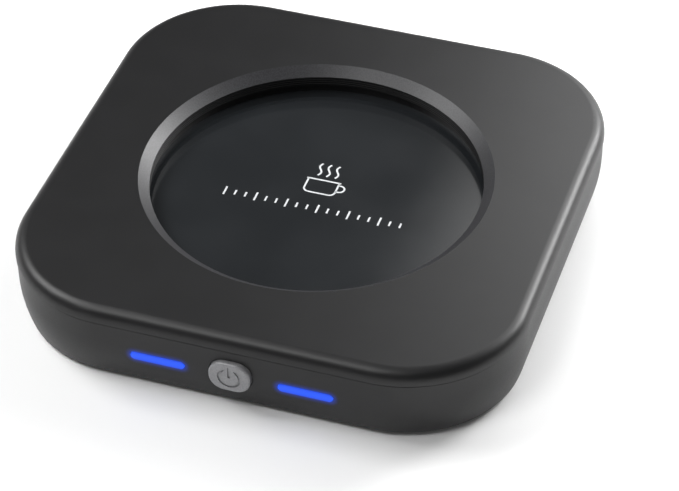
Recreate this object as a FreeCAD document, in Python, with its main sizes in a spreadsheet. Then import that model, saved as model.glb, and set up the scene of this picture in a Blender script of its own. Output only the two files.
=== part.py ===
import FreeCAD, Part
import math
import os
import re

import Sketcher
from FreeCAD import Placement, Rotation, Vector

# Electric mug warmer, millimetres. The origin is on the table under the middle of the body,
# +Z is up and the controls face -Y.

SIZES = {
    # body
    "body_width": 114.3,
    "corner_radius": 27.0,
    "foot_height": 1.0,
    "cover_height": 3.4,
    "cover_fillet": 2.8,
    "roof_thickness": 2.0,
    "base_step": 0.2,
    "base_wall": 2.7,
    "side_straight": 5.0,
    "side_tuck": 1.5,
    "bottom_chamfer": 0.3,
    "shadow_gap": 0.3,
    "shadow_depth": 0.5,
    "floor_thickness": 1.8,
    "electronics_room": 4.7,
    "lip_depth": 1.6,
    "lip_thickness": 1.2,
    "fit_gap": 0.15,
    "slide_gap": 0.2,
    "screw_play": 0.05,
    # mug recess, glass and its seal
    "rim_land": 17.75,
    "funnel_width": 2.4,
    "recess_slope": 1.9,
    "collar_wall": 2.4,
    "collar_depth": 4.2,
    "glass_depth": 6.4,
    "glass_lap": 1.1,
    "glass_thickness": 2.0,
    "glass_edge": 0.3,
    "seal_setback": 0.9,
    "seal_wall": 2.0,
    # heater under the glass
    "glass_shelf": 0.4,
    "spreader_gap": 0.6,
    "spreader_thickness": 1.0,
    "sheet_setback": 0.5,
    "mica_thickness": 0.3,
    "track_thickness": 0.2,
    "track_width": 2.4,
    "track_margin": 3.3,
    "track_first": 9.0,
    "track_gap": 3.4,
    "pad_thickness": 1.2,
    "backplate_thickness": 0.5,
    "carrier_wall": 2.45,
    "ear_radius": 4.0,
    "ear_thickness": 3.0,
    "web_setback": 1.0,
    "terminal_width": 3.0,
    "terminal_thickness": 0.8,
    "terminal_hang": 3.4,
    "terminal_hole": 2.2,
    "thermal_fuse_radius": 1.5,
    "thermal_fuse_length": 10.0,
    "clip_thickness": 0.4,
    "clip_width": 4.0,
    "clip_ear": 2.5,
    "thermistor_radius": 1.0,
    "thermistor_length": 5.0,
    # screws
    "post_inset": 14.65,
    "post_radius": 3.2,
    "post_pilot": 1.2,
    "post_screw_length": 9.0,
    "post_head_radius": 2.4,
    "post_head_height": 1.6,
    "socket_radius": 4.4,
    "socket_height": 4.0,
    "small_pilot": 0.95,
    "small_head_radius": 1.9,
    "small_head_height": 1.3,
    "carrier_screw_length": 4.8,
    "backplate_screw_length": 2.6,
    "drive_width": 0.6,
    "drive_depth": 0.6,
    "drive_margin": 0.8,
    "post_hole_spare": 1.0,
    "tip_gap": 0.2,
    "blind_depth": 1.1,
    # feet and cord bush
    "foot_radius": 6.5,
    "foot_bore": 3.2,
    "foot_seat": 0.6,
    "cord_bore": 3.0,
    "bush_body": 4.2,
    "bush_flange": 5.2,
    "bush_inner_flange": 1.2,
    "bush_seat": 1.9,
    "bush_level": 8.4,
    # front controls
    "control_reach": 0.95,
    "button_level": 9.5,
    "button_width": 9.3,
    "button_height": 7.5,
    "button_corner": 3.4,
    "button_edge": 0.5,
    "button_flange": 1.2,
    "button_flange_lap": 0.8,
    "plunger_radius": 1.6,
    "mark_radius": 2.3,
    "mark_line": 0.5,
    "mark_depth": 0.3,
    "mark_bar": 2.9,
    "bar_level": 8.9,
    "bar_place": 16.4,
    "bar_length": 12.1,
    "bar_height": 2.0,
    "bar_proud": 0.05,
    "guide_flange": 1.0,
    "guide_flange_lap": 1.1,
    "led_gap": 0.3,
    "led_length": 7.0,
    "led_width": 1.8,
    "led_height": 1.4,
    "front_board_setback": 7.65,
    "front_board_spare": 1.85,
    "front_board_height": 11.5,
    "front_board_lift": 0.5,
    "board_thickness": 1.2,
    "front_post_margin": 3.0,
    "front_post_width": 5.0,
    "front_post_depth": 3.8,
    "front_screw_length": 4.2,
    "switch_width": 6.0,
    "switch_depth": 3.2,
    "switch_plate": 0.3,
    "switch_well": 2.4,
    "well_radius": 2.3,
    "stem_radius": 1.7,
    "stem_reach": 1.8,
    "stem_foot_radius": 2.1,
    "stem_foot": 0.7,
    "button_travel": 0.5,
    "dome_thickness": 0.15,
    "dome_crown": 0.7,
    # main board at the rear
    "board_side_gap": 18.25,
    "board_front": 10.0,
    "board_back_gap": 3.25,
    "standoff_height": 1.2,
    "standoff_radius": 2.5,
    "standoff_side": 6.0,
    "standoff_inset": 4.0,
    "board_screw_length": 2.8,
    "wire_radius": 0.7,
    "thin_wire_radius": 0.35,
    "cable_width": 7.0,
    "cable_thickness": 0.9,
    "cable_offset": 7.0,
    "lead_offset": 5.0,
    "lead_shift": 2.0,
    "lead_landing": 4.0,
    "lead_straight": 6.0,
    "thermistor_place": 4.0,
    "thermistor_end": 2.0,
    "fuse_offset": 13.5,
    # components on the main board
    "terminal_body_length": 14.0,
    "terminal_body_width": 7.5,
    "terminal_body_height": 8.5,
    "port_pitch": 4.5,
    "port_radius": 1.4,
    "port_depth": 4.0,
    "port_level": 3.0,
    "can_radius": 4.0,
    "can_height": 10.0,
    "can_offset": 18.0,
    "can_inset": 4.3,
    "can_groove_level": 1.2,
    "can_groove_width": 0.6,
    "can_groove_depth": 0.2,
    "triac_length": 9.4,
    "triac_width": 6.0,
    "triac_height": 3.6,
    "triac_tab": 2.4,
    "triac_tab_height": 1.2,
    "triac_offset": 7.5,
    "fuse_can_radius": 3.4,
    "fuse_can_height": 4.8,
    "fuse_can_side": 3.5,
    "fuse_can_inset": 11.0,
    "chip_length": 10.0,
    "chip_width": 6.2,
    "chip_height": 1.4,
    "chip_place": 24.0,
    "leg_pitch": 1.27,
    "leg_width": 0.5,
    "leg_length": 1.2,
}

TRACK_TURNS = 7
BACKPLATE_SCREWS = 6

doc = FreeCAD.newDocument("mug_warmer")
sheet = doc.addObject("Spreadsheet::Sheet", "sizes")
for row, (alias, value) in enumerate(SIZES.items(), start=1):
    sheet.set("A%d" % row, alias)
    sheet.set("B%d" % row, "%g" % value)
    sheet.setAlias("B%d" % row, alias)

# Levels and faces worked out from the sizes above.
LEVELS = {
    "floor_top": "foot_height + floor_thickness",
    "backplate_under": "floor_top + electronics_room",
    "pad_under": "backplate_under + backplate_thickness",
    "pad_top": "pad_under + pad_thickness",
    "track_under": "pad_top + mica_thickness",
    "track_top": "track_under + track_thickness",
    "spreader_under": "track_top + mica_thickness",
    "glass_under": "spreader_under + spreader_thickness",
    "glass_top": "glass_under + glass_thickness",
    "top": "glass_top + glass_depth",
    "parting": "top - cover_height",
    "base_height": "parting - foot_height",
    "corner_centre": "body_width / 2 - corner_radius",
    "roof_under": "top - roof_thickness",
    "collar_end": "top - collar_depth",
    "recess_radius": "body_width / 2 - rim_land",
    "throat_radius": "recess_radius - funnel_width",
    "seal_bore": "throat_radius + seal_setback",
    "glass_radius": "seal_bore + glass_lap",
    "seal_radius": "glass_radius + seal_wall",
    "carrier_bore": "glass_radius - glass_shelf",
    "carrier_radius": "seal_radius + screw_play + carrier_wall",
    "ear_reach": "carrier_radius + ear_radius",
    "spreader_radius": "carrier_bore - spreader_gap",
    "sheet_radius": "spreader_radius - sheet_setback",
    "track_pitch": "(sheet_radius - track_margin - track_first) / %d" % (TRACK_TURNS - 1),
    "backplate_radius": "carrier_radius - sheet_setback",
    "backplate_screw_circle": "(carrier_bore + carrier_radius) / 2",
    "post_place": "body_width / 2 - post_inset",
    "inner_half": "body_width / 2 - base_step - base_wall",
    "outer_reach": "body_width / 2 + control_reach",
    "board_under": "floor_top + standoff_height",
    "board_top": "board_under + board_thickness",
    "board_half_width": "inner_half - board_side_gap",
    "board_back": "inner_half - board_back_gap",
    "standoff_x": "board_half_width - standoff_side",
    "standoff_front": "board_front + standoff_inset",
    "standoff_back": "board_back - standoff_inset",
    "wire_level": "board_under + board_thickness / 2",
    "front_board_face": "inner_half - front_board_setback",
    "front_board_width": "body_width - 2 * corner_radius + 2 * front_board_spare",
    "front_post_place": "front_board_width / 2 - front_post_margin",
    "cable_place": "front_post_place - cable_offset",
    "stem_tip": "front_board_face + switch_depth + switch_plate + stem_reach",
    "round_start": "parting - side_straight",
    "round_height": "round_start - foot_height - bottom_chamfer",
    "round_radius": "(side_tuck ^ 2 + round_height ^ 2) / (2 * side_tuck)",
    "bar_inset": "round_radius - sqrt(round_radius ^ 2 - max(round_start - bar_level; 0) ^ 2)",
    "bar_face": "body_width / 2 - base_step - bar_inset + bar_proud",
}
for row, (alias, rule) in enumerate(LEVELS.items(), start=len(SIZES) + 1):
    sheet.set("A%d" % row, alias)
    sheet.set("B%d" % row, "=" + rule)
    sheet.setAlias("B%d" % row, alias)
doc.recompute()

ALIAS = re.compile(r"\b(%s)\b" % "|".join(list(SIZES) + list(LEVELS)))
AXES = ("x", "y", "z")
TURNED = {
    "z": Rotation(),
    "y": Rotation(Vector(1, 0, 0), -90),
}
CORNERS = {"front_left": (-1, -1), "front_right": (1, -1), "rear_left": (-1, 1), "rear_right": (1, 1)}

probe = doc.addObject("App::FeaturePython", "probe")
probe.addProperty("App::PropertyFloat", "Value")
pieces = []


def size(rule):
    """A number worked out from the sheet."""
    probe.setExpression("Value", ALIAS.sub(r"sizes.\1", rule))
    probe.recompute()
    return probe.Value


def tie(thing, **rules):
    """Bind properties of an object to the sheet."""
    for name, rule in rules.items():
        thing.setExpression(name, ALIAS.sub(r"sizes.\1", str(rule)))
    return thing


def put(thing, at, turn=None):
    """Place an object at three rules, turned as given."""
    thing.Placement = Placement(Vector(), turn or Rotation())
    for axis, rule in zip(AXES, at):
        thing.setExpression("Placement.Base." + axis, ALIAS.sub(r"sizes.\1", str(rule)))
    return thing


def block(name, length, width, height, at):
    """A box centred on at in X and Y, standing on at in Z."""
    box = doc.addObject("Part::Box", name)
    tie(box, Length=length, Width=width, Height=height)
    return put(box, ("(%s) - (%s) / 2" % (at[0], length), "(%s) - (%s) / 2" % (at[1], width), at[2]))


def rod(name, radius, height, at, along="z"):
    """A cylinder that starts at at and runs in the positive direction of an axis."""
    cylinder = doc.addObject("Part::Cylinder", name)
    tie(cylinder, Radius=radius, Height=height)
    return put(cylinder, at, TURNED[along])


def cone(name, first, second, height, at, along="z"):
    """A cone from its first radius to its second."""
    shape = doc.addObject("Part::Cone", name)
    tie(shape, Radius1=first, Radius2=second, Height=height)
    return put(shape, at, TURNED[along])


def join(name, *parts):
    """One solid out of several."""
    fused = doc.addObject("Part::MultiFuse", name)
    fused.Shapes = list(parts)
    fused.Refine = True
    return fused


def cut(name, base, *tools):
    """A solid with tools taken away."""
    tool = tools[0] if len(tools) == 1 else join(name + "_tools", *tools)
    result = doc.addObject("Part::Cut", name)
    result.Base = base
    result.Tool = tool
    result.Refine = True
    return result


def group(name, *parts):
    """Several separate solids in one node."""
    compound = doc.addObject("Part::Compound", name)
    compound.Links = list(parts)
    return compound


def piece(label, thing):
    """Register a finished sub-part under its own name."""
    thing.Label = label
    pieces.append(thing)
    return thing


def ring(name, outer, inner, height, at, along="z"):
    """A flat ring or a tube."""
    hole = rod(name + "_hole", inner, height, at, along)
    return cut(name, rod(name + "_disc", outer, height, at, along), hole)


def origin_plane(body, role):
    return next(plane for plane in body.Origin.OriginFeatures if plane.Role == role)


def rounded_sketch(body, name, role, width, height, radius, offset, centre=("0", "0")):
    """A rectangle with round corners on one of the body's own planes."""
    sketch = body.newObject("Sketcher::SketchObject", name)
    sketch.AttachmentSupport = (origin_plane(body, role), [""])
    sketch.MapMode = "FlatFace"
    tie(sketch, **{"AttachmentOffset.Base.z": offset})
    half_w, half_h, bend = size(width) / 2, size(height) / 2, size(radius)
    mid = Vector(size(centre[0]), size(centre[1]), 0)
    flat_w, flat_h = half_w - bend, half_h - bend

    def spot(x, y):
        return mid + Vector(x, y, 0)

    def corner(x, y, start):
        circle = Part.Circle(spot(x, y), Vector(0, 0, 1), bend)
        return Part.ArcOfCircle(circle, start, start + math.pi / 2)

    sketch.addGeometry([
        Part.LineSegment(spot(-flat_w, -half_h), spot(flat_w, -half_h)),
        corner(flat_w, -flat_h, -math.pi / 2),
        Part.LineSegment(spot(half_w, -flat_h), spot(half_w, flat_h)),
        corner(flat_w, flat_h, 0),
        Part.LineSegment(spot(flat_w, half_h), spot(-flat_w, half_h)),
        corner(-flat_w, flat_h, math.pi / 2),
        Part.LineSegment(spot(-half_w, flat_h), spot(-half_w, -flat_h)),
        corner(-flat_w, -flat_h, math.pi),
    ])
    rules = [Sketcher.Constraint("Tangent", side, 2, (side + 1) % 8, 1) for side in range(8)]
    rules += [Sketcher.Constraint("Horizontal", side) for side in (0, 4)]
    rules += [Sketcher.Constraint("Vertical", side) for side in (2, 6)]
    rules += [Sketcher.Constraint("Equal", 1, side) for side in (3, 5, 7)]
    sketch.addConstraint(rules)
    named = (
        ("corner", Sketcher.Constraint("Radius", 1, bend), radius),
        ("wide", Sketcher.Constraint("DistanceX", 6, 1, 2, 1, 2 * half_w), width),
        ("high", Sketcher.Constraint("DistanceY", 0, 1, 4, 1, 2 * half_h), height),
        ("right", Sketcher.Constraint("DistanceX", -1, 1, 2, 1, mid.x + half_w),
         "(%s) + (%s) / 2" % (centre[0], width)),
        ("upper", Sketcher.Constraint("DistanceY", -1, 1, 4, 1, mid.y + half_h),
         "(%s) + (%s) / 2" % (centre[1], height)),
    )
    for label, constraint, rule in named:
        index = sketch.addConstraint(constraint)
        sketch.renameConstraint(index, label)
        tie(sketch, **{"Constraints." + label: rule})
    return sketch


def pad(body, sketch, length, name):
    feature = body.newObject("PartDesign::Pad", name)
    feature.Profile = sketch
    tie(feature, Length=length)
    body.Tip = feature
    return feature


def pocket(body, sketch, length, name):
    feature = body.newObject("PartDesign::Pocket", name)
    feature.Profile = sketch
    tie(feature, Length=length)
    body.Tip = feature
    return feature


def edges_where(feature, test):
    """Names of the edges whose every vertex passes a test."""
    return ["Edge%d" % (index + 1) for index, edge in enumerate(feature.Shape.Edges)
            if all(test(vertex.Point) for vertex in edge.Vertexes)]


def faces_where(feature, test):
    """Names of the faces whose outward normal passes a test."""
    names = []
    for index, face in enumerate(feature.Shape.Faces):
        low_u, high_u, low_v, high_v = face.ParameterRange
        if test(face.normalAt((low_u + high_u) / 2, (low_v + high_v) / 2)):
            names.append("Face%d" % (index + 1))
    return names


def fillet(body, feature, names, radius, name):
    rounded = body.newObject("PartDesign::Fillet", name)
    rounded.Base = (feature, names)
    tie(rounded, Radius=radius)
    body.Tip = rounded
    return rounded


def near(first, second):
    return abs(first - second) < 1e-4


def screw(name, pilot, length, head_radius, head_height, at, along="z", up=True):
    """A pan-head screw with a cross slot. Its head lies below its seat, or beyond it if not up."""
    axis = AXES.index(along)
    radius = "(%s) - screw_play" % pilot
    head_at = list(at)
    shank_at = list(at)
    slot_at = list(at)
    if up:
        head_at[axis] = "(%s) - (%s)" % (at[axis], head_height)
        slot_at[axis] = head_at[axis]
    else:
        shank_at[axis] = "(%s) - (%s)" % (at[axis], length)
        slot_at[axis] = "(%s) + (%s) - drive_depth" % (at[axis], head_height)
    shank = rod(name + "_shank", radius, length, shank_at, along)
    head = rod(name + "_head", head_radius, head_height, head_at, along)
    reach = "2 * ((%s) - drive_margin)" % head_radius
    slots = []
    for index in range(2):
        slot = doc.addObject("Part::Box", "%s_slot%d" % (name, index))
        sides = [reach, "drive_width", "drive_depth"] if index else ["drive_width", reach, "drive_depth"]
        if along == "y":
            sides = [sides[0], sides[2], sides[1]]
        tie(slot, Length=sides[0], Width=sides[1], Height=sides[2])
        corner = ["(%s) - (%s) / 2" % (place, side) for place, side in zip(slot_at, sides)]
        corner[axis] = slot_at[axis]
        slots.append(put(slot, corner))
    return cut(name, join(name + "_blank", shank, head), *slots)


# Share of the shorter run that an arc in a wire takes up.
BEND_SHARE = 0.45


def wire(name, radius, points):
    """A tube of straight runs joined by tangent arcs along its points."""
    places = [Vector(*[size(rule) for rule in point]) for point in points]
    edges = []
    start = places[0]
    for before, here, after in zip(places, places[1:], places[2:]):
        arrive = (here - before).normalize()
        leave = (after - here).normalize()
        turn = arrive.getAngle(leave)
        trim = BEND_SHARE * min((here - before).Length, (after - here).Length)
        bend = trim / math.tan(turn / 2)
        bow = here + (leave - arrive).normalize() * (bend / math.cos(turn / 2) - bend)
        first = here - arrive * trim
        last = here + leave * trim
        edges.append(Part.LineSegment(start, first).toShape())
        edges.append(Part.Arc(first, bow, last).toShape())
        start = last
    edges.append(Part.LineSegment(start, places[-1]).toShape())
    path = Part.Wire(edges)
    direction = (places[1] - places[0]).normalize()
    section = Part.Wire([Part.Circle(places[0], direction, size(radius)).toShape()])
    tube = path.makePipeShell([section], True, False)
    expected = math.pi * size(radius) ** 2 * path.Length
    print("wire", name, "volume ratio", round(tube.Volume / expected, 4))
    feature = doc.addObject("Part::Feature", name)
    feature.Shape = tube
    feature.Placement = Placement()
    return feature


def side_profile(body):
    """The base's wall in section, from the axis of a corner outwards: a straight wall that tucks in below."""
    sketch = body.newObject("Sketcher::SketchObject", "side_profile")
    sketch.AttachmentSupport = (origin_plane(body, "XZ_Plane"), [""])
    sketch.MapMode = "FlatFace"
    tie(sketch, **{"AttachmentOffset.Base.x": "corner_centre", "AttachmentOffset.Base.z": "corner_centre"})
    wall, tuck, chamfer = size("corner_radius - base_step"), size("side_tuck"), size("bottom_chamfer")
    low, start, rim = size("foot_height"), size("round_start"), size("parting")
    gap, depth, bend = size("shadow_gap"), size("shadow_depth"), size("round_radius")
    foot = wall - tuck - chamfer
    spots = [(0, low), (foot, low), (wall - tuck, low + chamfer), (wall, start), (wall, rim - gap),
             (wall - depth, rim - gap), (wall - depth, rim), (0, rim)]
    spots = [Vector(x, y, 0) for x, y in spots]
    sides = [Part.LineSegment(first, second) for first, second in zip(spots, spots[1:] + spots[:1])]
    sweep = math.asin((start - low - chamfer) / bend)
    sides[2] = Part.ArcOfCircle(Part.Circle(Vector(wall - bend, start, 0), Vector(0, 0, 1), bend), -sweep, 0)
    sketch.addGeometry(sides)
    rules = [Sketcher.Constraint("Coincident", line, 2, (line + 1) % 8, 1) for line in range(8) if line != 2]
    rules.append(Sketcher.Constraint("Tangent", 2, 2, 3, 1))
    rules += [Sketcher.Constraint("Horizontal", line) for line in (0, 4, 6)]
    rules += [Sketcher.Constraint("Vertical", line) for line in (3, 5)]
    rules += [Sketcher.Constraint("PointOnObject", 7, end, -2) for end in (1, 2)]
    sketch.addConstraint(rules)
    named = (
        ("low", ("DistanceY", -1, 1, 0, 1, low), "foot_height"),
        ("tuck", ("DistanceX", 2, 1, 3, 1, tuck), "side_tuck"),
        ("chamfer_wide", ("DistanceX", 1, 1, 1, 2, chamfer), "bottom_chamfer"),
        ("chamfer_high", ("DistanceY", 1, 1, 1, 2, chamfer), "bottom_chamfer"),
        ("wall", ("DistanceX", -1, 1, 3, 1, wall), "corner_radius - base_step"),
        ("start", ("DistanceY", -1, 1, 3, 1, start), "round_start"),
        ("gap", ("DistanceY", 5, 1, 5, 2, gap), "shadow_gap"),
        ("depth", ("DistanceX", 4, 2, 4, 1, depth), "shadow_depth"),
        ("rim", ("DistanceY", -1, 1, 6, 1, rim), "parting"),
    )
    for label, terms, rule in named:
        index = sketch.addConstraint(Sketcher.Constraint(*terms))
        sketch.renameConstraint(index, label)
        tie(sketch, **{"Constraints." + label: rule})
    return sketch


# Base tray: rounded-square shell that tucks in below, open at the top, with sockets, standoffs and posts.
def make_base_shell():
    body = doc.addObject("PartDesign::Body", "base_body")
    core = body.newObject("PartDesign::AdditiveBox", "base_core")
    tie(core, Length="2 * corner_centre", Width="2 * corner_centre", Height="base_height")
    put(core, ("-corner_centre", "-corner_centre", "foot_height"))
    body.Tip = core
    profile = side_profile(body)
    side = pad(body, profile, "2 * corner_centre", "base_side")
    side.Reversed = True
    corner = body.newObject("PartDesign::Revolution", "base_corner")
    corner.Profile = profile
    corner.ReferenceAxis = (profile, ["V_Axis"])
    corner.Angle = 90
    corner.Reversed = True
    body.Tip = corner
    doc.recompute()
    around = body.newObject("PartDesign::PolarPattern", "base_sides")
    around.Originals = [side, corner]
    around.Axis = (origin_plane(body, "Z_Axis"), [""])
    around.Angle = 360
    around.Occurrences = 4
    body.Tip = around
    doc.recompute()
    hollow = rounded_sketch(body, "base_hollow_plan", "XY_Plane", "2 * inner_half", "2 * inner_half",
                            "corner_radius - base_step - base_wall", "parting")
    pocket(body, hollow, "parting - floor_top", "base_hollow")
    doc.recompute()

    added = [body]
    taken = []
    for corner, (right, back) in CORNERS.items():
        at_x, at_y = "%d * post_place" % right, "%d * post_place" % back
        added.append(rod("socket_" + corner, "socket_radius", "socket_height + floor_thickness / 2",
                         (at_x, at_y, "floor_top - floor_thickness / 2")))
        taken.append(rod("socket_hole_" + corner, "post_pilot + 2 * screw_play",
                         "socket_height + floor_thickness + foot_height", (at_x, at_y, "foot_height")))
        taken.append(rod("head_well_" + corner, "foot_bore", "post_head_height + foot_seat",
                         (at_x, at_y, "foot_height")))
        taken.append(rod("foot_seat_" + corner, "foot_radius + fit_gap", "foot_seat",
                         (at_x, at_y, "foot_height")))
    for side in (-1, 1):
        for where in ("front", "back"):
            spot = ("%d * standoff_x" % side, "standoff_" + where)
            tag = "%s_%d" % (where, side + 1)
            added.append(rod("standoff_" + tag, "standoff_radius", "standoff_height + floor_thickness / 2",
                             spot + ("floor_top - floor_thickness / 2",)))
            taken.append(rod("standoff_hole_" + tag, "small_pilot", "standoff_height + blind_depth",
                             spot + ("floor_top - blind_depth",)))
        post_y = "-(front_board_face - board_thickness - front_post_depth / 2)"
        added.append(block("front_post_%d" % (side + 1), "front_post_width", "front_post_depth",
                           "front_board_height + front_board_lift + floor_thickness / 2",
                           ("%d * front_post_place" % side, post_y, "floor_top - floor_thickness / 2")))
        taken.append(rod("front_post_hole_%d" % (side + 1), "small_pilot", "front_screw_length",
                         ("%d * front_post_place" % side, "-(front_board_face - board_thickness)",
                          "floor_top + front_board_lift + front_board_height / 2"), "y"))
        taken.append(stadium("bar_slot_%d" % (side + 1), "bar_length + 2 * fit_gap", "bar_height + 2 * fit_gap",
                             "outer_reach - inner_half + base_wall / 2", "%d * bar_place" % side,
                             "-outer_reach", "bar_level"))
    button_hole = doc.addObject("PartDesign::Body", "button_hole")
    plan = rounded_sketch(button_hole, "button_hole_plan", "XZ_Plane", "button_width + 2 * slide_gap",
                          "button_height + 2 * slide_gap", "button_corner + slide_gap", "outer_reach",
                          ("0", "button_level"))
    backwards = pad(button_hole, plan, "outer_reach - inner_half + base_wall / 2", "button_hole_pad")
    backwards.Reversed = True
    taken.append(button_hole)
    taken.append(rod("bush_hole", "bush_body + screw_play", "base_wall + outer_reach",
                     ("0", "inner_half - base_wall / 2", "bush_level"), "y"))
    taken.append(rod("bush_spot_face", "bush_flange + fit_gap", "outer_reach - inner_half",
                     ("0", "inner_half + bush_seat", "bush_level"), "y"))
    piece("base_shell", cut("base", join("base_blank", *added), *taken))


def stadium(name, length, height, depth, middle, face, level):
    """A bar with round ends that starts at face and runs towards +Y."""
    straight = "(%s) - (%s)" % (length, height)
    bar = doc.addObject("Part::Box", name + "_bar")
    tie(bar, Length=straight, Width=depth, Height=height)
    put(bar, ("(%s) - (%s) / 2" % (middle, straight), face, "(%s) - (%s) / 2" % (level, height)))
    ends = [rod("%s_end%d" % (name, side + 1), "(%s) / 2" % height, depth,
                ("(%s) + %d * (%s) / 2" % (middle, side, straight), face, level), "y") for side in (-1, 1)]
    return join(name, bar, *ends)


# Top cover: filleted cap with a lip, a funnel-edged throat, a collar, screw posts and bosses.
def make_top_cover():
    body = doc.addObject("PartDesign::Body", "cover_body")
    plan = rounded_sketch(body, "cover_plan", "XY_Plane", "body_width", "body_width", "corner_radius", "parting")
    cap = pad(body, plan, "cover_height", "cover_cap")
    doc.recompute()
    crown = size("top")
    names = edges_where(cap, lambda point: near(point.z, crown))
    fillet(body, cap, names, "min(cover_fillet; cover_height - fit_gap)", "cover_top_edge")
    lip_plan = rounded_sketch(body, "cover_lip_plan", "XY_Plane", "2 * (inner_half - fit_gap)",
                              "2 * (inner_half - fit_gap)", "corner_radius - base_step - base_wall - fit_gap",
                              "parting - lip_depth")
    pad(body, lip_plan, "lip_depth + cover_height / 4", "cover_lip")
    inside = "2 * (inner_half - fit_gap - lip_thickness)"
    hollow_plan = rounded_sketch(body, "cover_hollow_plan", "XY_Plane", inside, inside,
                                 "corner_radius - base_step - base_wall - fit_gap - lip_thickness", "roof_under")
    pocket(body, hollow_plan, "cover_height + lip_depth", "cover_hollow")
    doc.recompute()

    added = [body, rod("collar", "throat_radius + collar_wall", "top - collar_end - roof_thickness / 2",
                       ("0", "0", "collar_end"))]
    taken = [rod("throat", "throat_radius", "collar_depth", ("0", "0", "collar_end")),
             cone("funnel", "throat_radius", "recess_radius", "recess_slope", ("0", "0", "top - recess_slope"))]
    post_end = "floor_top + socket_height"
    for corner, (right, back) in CORNERS.items():
        at_x, at_y = "%d * post_place" % right, "%d * post_place" % back
        added.append(rod("post_" + corner, "post_radius", "roof_under + roof_thickness / 2 - (%s)" % post_end,
                         (at_x, at_y, post_end)))
        taken.append(rod("post_hole_" + corner, "post_pilot",
                         "post_screw_length + post_hole_spare - socket_height",
                         (at_x, at_y, post_end)))
        ear_x, ear_y = ("%d * ear_reach * sqrt(0.5)" % side for side in (right, back))
        added.append(rod("boss_" + corner, "ear_radius - 2 * fit_gap", "top - roof_thickness / 2 - collar_end",
                         (ear_x, ear_y, "collar_end")))
        taken.append(rod("boss_hole_" + corner, "small_pilot", "carrier_screw_length - ear_thickness + tip_gap",
                         (ear_x, ear_y, "collar_end")))
    piece("top_cover", cut("cover", join("cover_blank", *added), *taken))


# Rubber feet: rings glued in seats under the body, round the heads of the cover screws.
def make_feet():
    for corner, (right, back) in CORNERS.items():
        at = ("%d * post_place" % right, "%d * post_place" % back, "0")
        edge = cone("foot_cone_" + corner, "foot_radius - foot_height / 2", "foot_radius", "foot_height / 2", at)
        upper = rod("foot_disc_" + corner, "foot_radius", "foot_height / 2 + foot_seat",
                    (at[0], at[1], "foot_height / 2"))
        hole = rod("foot_hole_" + corner, "foot_bore", "foot_height + foot_seat", at)
        piece("rubber_foot_" + corner, cut("foot_" + corner, join("foot_blank_" + corner, edge, upper), hole))


def make_cover_screws():
    seat = "foot_height + foot_seat + post_head_height"
    screws = [screw("cover_screw_" + corner, "post_pilot", "post_screw_length", "post_head_radius",
                    "post_head_height", ("%d * post_place" % right, "%d * post_place" % back, seat))
              for corner, (right, back) in CORNERS.items()]
    piece("cover_screws", group("cover_screw_set", *screws))


# Rubber bush in the rear wall, clear right through for the cord.
def make_cord_bush():
    face, seat, inner = "outer_reach", "inner_half + bush_seat", "inner_half"
    flange = rod("bush_face", "bush_flange", "(%s) - (%s)" % (face, seat), ("0", seat, "bush_level"), "y")
    neck = rod("bush_neck", "bush_body", "(%s) - (%s)" % (seat, inner), ("0", inner, "bush_level"), "y")
    lock = rod("bush_lock", "bush_flange", "bush_inner_flange",
               ("0", "inner_half - bush_inner_flange", "bush_level"), "y")
    bore = rod("bush_bore", "cord_bore", "outer_reach - inner_half + bush_inner_flange",
               ("0", "inner_half - bush_inner_flange", "bush_level"), "y")
    piece("cord_bush", cut("bush", join("bush_blank", flange, neck, lock), bore))


# Glass plate with a chamfered rim, and the silicone seal that holds its edge.
def make_glass_and_seal():
    plate = rod("glass_disc", "glass_radius", "glass_thickness - glass_edge", ("0", "0", "glass_under"))
    rim = cone("glass_rim", "glass_radius", "glass_radius - glass_edge", "glass_edge",
               ("0", "0", "glass_top - glass_edge"))
    piece("glass_plate", join("glass", plate, rim))
    outer = rod("seal_outer", "seal_radius", "collar_end - glass_under", ("0", "0", "glass_under"))
    window = rod("seal_window", "seal_bore", "collar_end - glass_under", ("0", "0", "glass_under"))
    pocket_disc = rod("seal_pocket", "glass_radius + screw_play", "glass_thickness", ("0", "0", "glass_under"))
    piece("plate_seal", cut("seal", outer, window, pocket_disc))


WEB_LENGTH = "ear_reach - carrier_bore - web_setback"


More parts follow.
